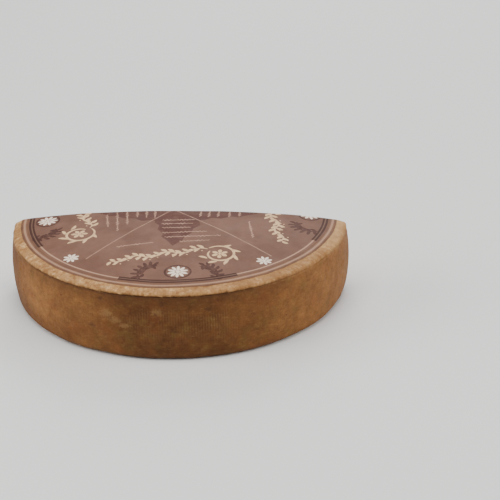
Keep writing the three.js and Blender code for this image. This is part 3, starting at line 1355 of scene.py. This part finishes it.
# The bands' bearings and half angle in degrees, their radius and half width in millimetres
BAND_CENTRES = (-174, -85.5, 0.7)
BAND_HALF_ANGLE = 22.5
BAND_RADIUS = 137.0
BAND_HALF_WIDTH = 2.5
# Colour, radius, half width and strength of each ring
RINGS = (
    (RING_PALE, 137.0, 0.75, 0.85),
    (RING_BROWN, 140.7, 0.7, 0.5),
    (RING_PALE, 143.6, 1.0, 0.6),
    (RING_BROWN, 146.3, 0.9, 0.55),
)
RULED_LINES = (((-6.5, -0.3), (-75.5, -95.8)), ((-3.5, 0.0), (91.0, -87.5)))
CRISP = 0.15
INK_CRISP = 0.14


def ink_mask(tree, ink):
    away = place_node(tree, "ShaderNodeAttribute", attribute_name=f"ink_{ink}").outputs["Fac"]
    return ramp_up(tree, away, INK_CRISP, -INK_CRISP)


def ring_mask(tree, radius, middle, half):
    away = calc(tree, "ABSOLUTE", calc(tree, "SUBTRACT", radius, middle))
    return ramp_up(tree, away, half + CRISP, half - CRISP)


def band_mask(tree, radius, angle):
    """The dark bands, one over each quarter's flower."""
    total = None
    for centre in BAND_CENTRES:
        away = calc(tree, "ABSOLUTE", calc(tree, "SUBTRACT", angle, centre))
        away = calc(tree, "MINIMUM", away, calc(tree, "SUBTRACT", 360.0, away))
        hit = ramp_up(tree, away, BAND_HALF_ANGLE + 0.1, BAND_HALF_ANGLE - 0.1)
        total = hit if total is None else calc(tree, "MAXIMUM", total, hit)
    return times(tree, total, ring_mask(tree, radius, BAND_RADIUS, BAND_HALF_WIDTH))


def ruled_line_mask(tree, x, y, start, end, half=0.55):
    """A straight rule from one place to another."""
    start, end = Vector(start), Vector(end)
    way = (end - start).normalized()
    dx, dy = calc(tree, "SUBTRACT", x, start.x), calc(tree, "SUBTRACT", y, start.y)
    aside = calc(tree, "ADD", times(tree, dx, -way.y), times(tree, dy, way.x))
    ahead = calc(tree, "ADD", times(tree, dx, way.x), times(tree, dy, way.y))
    length = (end - start).length
    on_line = ramp_up(tree, calc(tree, "ABSOLUTE", aside), half + CRISP, half - CRISP)
    return times(tree, on_line, between(tree, ahead, (0, 0.5), (length, length - 0.5)))


print(len(RINGS), "rings,", len(BAND_CENTRES), "bands and", len(RULED_LINES), "ruled lines")

# %% [markdown]
# The inks go on from dark to light, and each fades in patches, as print on damp paper does. Near
# its edge the paper has soaked up fat and rind colour.

# %% The printed paper
# Each ink's colour, the size of its worn patches, and its least and most strength
DARK_INKS = {"wash": (INK_WASH, 9.0, 0.6, 0.95), "maroon": (INK_MAROON, 5.0, 0.55, 0.85)}
RULED_INK = (INK_ROSE, 6.0, 0.45, 0.8)
LIGHT_INKS = {
    "rose": (INK_ROSE, 5.0, 0.5, 0.95),
    "cream": (INK_CREAM, 6.0, 0.75, 1.0),
    "pale": (INK_PALE, 4.0, 0.85, 1.0),
}
STAINED_EDGE = (134, 147)


def printed(tree, colour, mask, place, ink, size, least, most):
    """The colour with an ink over it, whose strength wanders between least and most."""
    take = ramp_up(tree, speckle(tree, place, size, 4.0, 0.6), 0.3, 0.6)
    strength = calc(tree, "MULTIPLY_ADD", take, most - least, least)
    return tinted(tree, colour, mask, strength, ink)


def printed_colour(tree, place, x, y):
    """Dark pictures first, then the ruled lines, then the light inks over them."""
    ground = ramp_up(tree, speckle(tree, place, 30, 3.0), 0.35, 0.65)
    colour = mottled(tree, mixed(tree, ground, PAPER_GROUND, PAPER_DEEP), place, 7.0, 1.1, 0.3)
    for ink, look in DARK_INKS.items():
        colour = printed(tree, colour, ink_mask(tree, ink), place, *look)
    for start, end in RULED_LINES:
        colour = printed(tree, colour, ruled_line_mask(tree, x, y, start, end), place, *RULED_INK)
    for ink, look in LIGHT_INKS.items():
        colour = printed(tree, colour, ink_mask(tree, ink), place, *look)
    return colour


def edged_colour(tree, colour, place, x, y):
    """Fat and rind colour soaked into the edge, the rings over it, and the dark bands."""
    radius = calc(tree, "SQRT", calc(tree, "MULTIPLY_ADD", x, x, times(tree, y, y)))
    angle = times(tree, calc(tree, "ARCTAN2", y, x), 180 / math.pi)
    stain = ramp_up(tree, speckle(tree, place, 11, 4.0, 0.6), 0.36, 0.6)
    soaked = times(tree, ramp_up(tree, radius, *STAINED_EDGE), stain)
    colour = tinted(tree, colour, soaked, 0.6, PAPER_STAIN)
    for tone, middle, half, strength in RINGS:
        colour = tinted(tree, colour, ring_mask(tree, radius, middle, half), strength, tone)
    slit = ring_mask(tree, radius, BAND_RADIUS - 0.2, 0.45)
    solid = calc(tree, "MULTIPLY_ADD", slit, -0.2, 0.9)
    return tinted(tree, colour, band_mask(tree, radius, angle), solid, BAND_DARK)


def label_material():
    material, tree, shader, space = start_material("printed_paper")
    place = space["Place"]
    own = vector_calc(tree, "SUBTRACT", place, tuple(LABEL_SHIFT))
    parts = place_node(tree, "ShaderNodeSeparateXYZ", {0: own}).outputs
    x, y = parts["X"], parts["Y"]
    colour = edged_colour(tree, printed_colour(tree, place, x, y), place, x, y)
    tree.links.new(colour, shader.inputs["Base Color"])

    gloss = calc(tree, "MULTIPLY_ADD", speckle(tree, place, 8.0, 3.0), 0.2, 0.5)
    tree.links.new(gloss, shader.inputs["Roughness"])
    shader.inputs["Specular IOR Level"].default_value = 0.12
    coarse, fine = speckle(tree, place, 3.5, 2.0), speckle(tree, place, 0.7, 3.0)
    bumped(tree, shader, calc(tree, "MULTIPLY_ADD", coarse, 1.2, fine), 0.1)
    return material


PRINT = label_material()
print("label finish:", len(PRINT.node_tree.nodes), "nodes")

# %% [markdown]
# Now the sheet gets its ink distances and its finish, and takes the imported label's place.

# %% Finish the label
sheet = label_sheet()
store_inks(sheet)
label = as_object(sheet, "printed_label", [PRINT])
print("label:", len(label.data.polygons), "faces")

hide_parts("top_label")
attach(label, "root")
